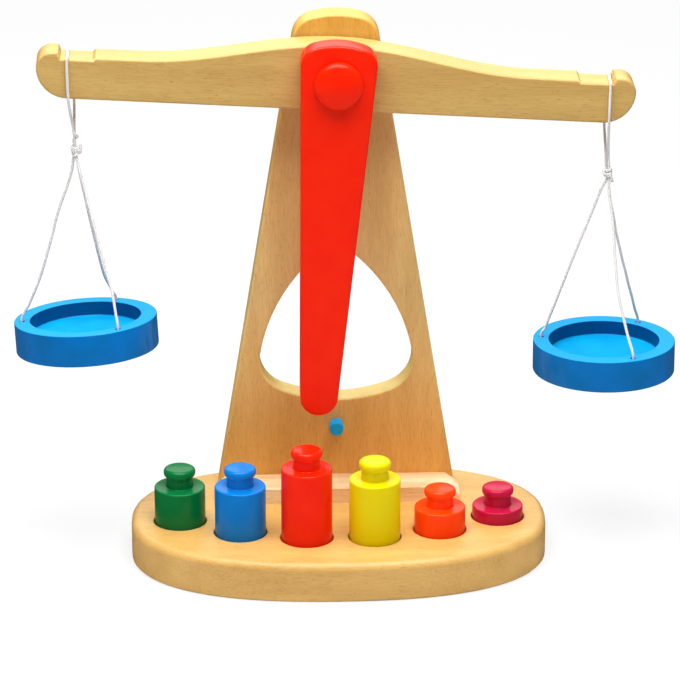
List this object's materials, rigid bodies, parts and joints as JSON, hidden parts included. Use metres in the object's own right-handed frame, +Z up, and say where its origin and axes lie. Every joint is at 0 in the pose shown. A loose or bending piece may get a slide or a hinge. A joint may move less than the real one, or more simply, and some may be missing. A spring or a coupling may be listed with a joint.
{
  "type": "toy balance scale",
  "caption": "Wooden toy balance: a board on an oval base carries a turning beam with a long pointer, hanging round dishes and lift-out knobbed weights in an arc.",
  "frame": {"origin": "middle of the base's underside, on the surface that the balance stands on", "axes": "+X to the right of someone who faces the pointer, along the beam; +Y away from them; +Z up"},
  "size_m": [0.3621, 0.141, 0.297],
  "materials": {
    "natural_wood": "satin lacquer on pale wood",
    "tower_wood": "satin lacquer on warm wood, grain upright",
    "red_paint": "satin paint on wood",
    "blue_paint": "satin paint on wood",
    "green_paint": "satin paint on wood",
    "yellow_paint": "satin paint on wood",
    "orange_paint": "satin paint on wood",
    "magenta_paint": "satin paint on wood",
    "white_cord": "braided cotton cord",
    "steel": "zinc plated"
  },
  "bodies": {
    "stand": {"base": "natural_wood", "tower": "tower_wood", "foot_strip": "natural_wood", "marker_peg": "blue_paint", "axle_peg": "red_paint", "spacer_washer": "steel", "tower_screws": "steel"},
    "beam": {"balance_beam": "natural_wood", "pointer": "red_paint", "pointer_dowel": "natural_wood"},
    "left_hanger": {"left_loop": "white_cord"},
    "left_swivel": {"left_knot": "white_cord"},
    "left_pan": {"left_side_cord": "white_cord", "left_front_cord": "white_cord", "left_back_cord": "white_cord", "left_dish": "blue_paint", "left_stop_knots": "white_cord"},
    "right_hanger": {"right_loop": "white_cord"},
    "right_swivel": {"right_knot": "white_cord"},
    "right_pan": {"right_side_cord": "white_cord", "right_front_cord": "white_cord", "right_back_cord": "white_cord", "right_dish": "blue_paint", "right_stop_knots": "white_cord"},
    "green_body": {"green_weight": "green_paint"},
    "blue_body": {"blue_weight": "blue_paint"},
    "red_body": {"red_weight": "red_paint"},
    "yellow_body": {"yellow_weight": "yellow_paint"},
    "orange_body": {"orange_weight": "orange_paint"},
    "magenta_body": {"magenta_weight": "magenta_paint"}
  },
  "joints": [
    {"name": "beam_tilt", "type": "hinge", "parent": "stand", "child": "beam", "pos_m": [0, 0.023, 0.2686], "axis": [0, 1, 0], "range_deg": [-23.4, 16.6]},
    {"name": "left_hanger_swing", "type": "hinge", "parent": "beam", "child": "left_hanger", "pos_m": [-0.14204, 0.023, 0.28059], "axis": [0, 1, 0], "range_deg": [-17, 24]},
    {"name": "left_knot_swing", "type": "hinge", "parent": "left_hanger", "child": "left_swivel", "pos_m": [-0.13987, 0.023, 0.22664], "axis": [1, 0, 0], "range_deg": [-10, 10]},
    {"name": "left_pan_swing", "type": "hinge", "parent": "left_swivel", "child": "left_pan", "pos_m": [-0.13987, 0.023, 0.22664], "axis": [0, -1, 0], "range_deg": [-15, 15]},
    {"name": "right_hanger_swing", "type": "hinge", "parent": "beam", "child": "right_hanger", "pos_m": [0.14595, 0.023, 0.26349], "axis": [0, 1, 0], "range_deg": [-17, 24]},
    {"name": "right_knot_swing", "type": "hinge", "parent": "right_hanger", "child": "right_swivel", "pos_m": [0.1469, 0.023, 0.20949], "axis": [1, 0, 0], "range_deg": [-10, 10]},
    {"name": "right_pan_swing", "type": "hinge", "parent": "right_swivel", "child": "right_pan", "pos_m": [0.1469, 0.023, 0.20949], "axis": [0, -1, 0], "range_deg": [-15, 15]},
    {"name": "green_lift", "type": "slide", "parent": "stand", "child": "green_body", "axis": [0, 0, 1], "range_m": [0, 0.03]},
    {"name": "blue_lift", "type": "slide", "parent": "stand", "child": "blue_body", "axis": [0, 0, 1], "range_m": [0, 0.03]},
    {"name": "red_lift", "type": "slide", "parent": "stand", "child": "red_body", "axis": [0, 0, 1], "range_m": [0, 0.03]},
    {"name": "yellow_lift", "type": "slide", "parent": "stand", "child": "yellow_body", "axis": [0, 0, 1], "range_m": [0, 0.03]},
    {"name": "orange_lift", "type": "slide", "parent": "stand", "child": "orange_body", "axis": [0, 0, 1], "range_m": [0, 0.03]},
    {"name": "magenta_lift", "type": "slide", "parent": "stand", "child": "magenta_body", "axis": [0, 0, 1], "range_m": [0, 0.03]}
  ],
  "couplings": [
    {"joint": "left_hanger_swing", "follows": "beam_tilt", "ratio": -1},
    {"joint": "right_hanger_swing", "follows": "beam_tilt", "ratio": -1}
  ]
}
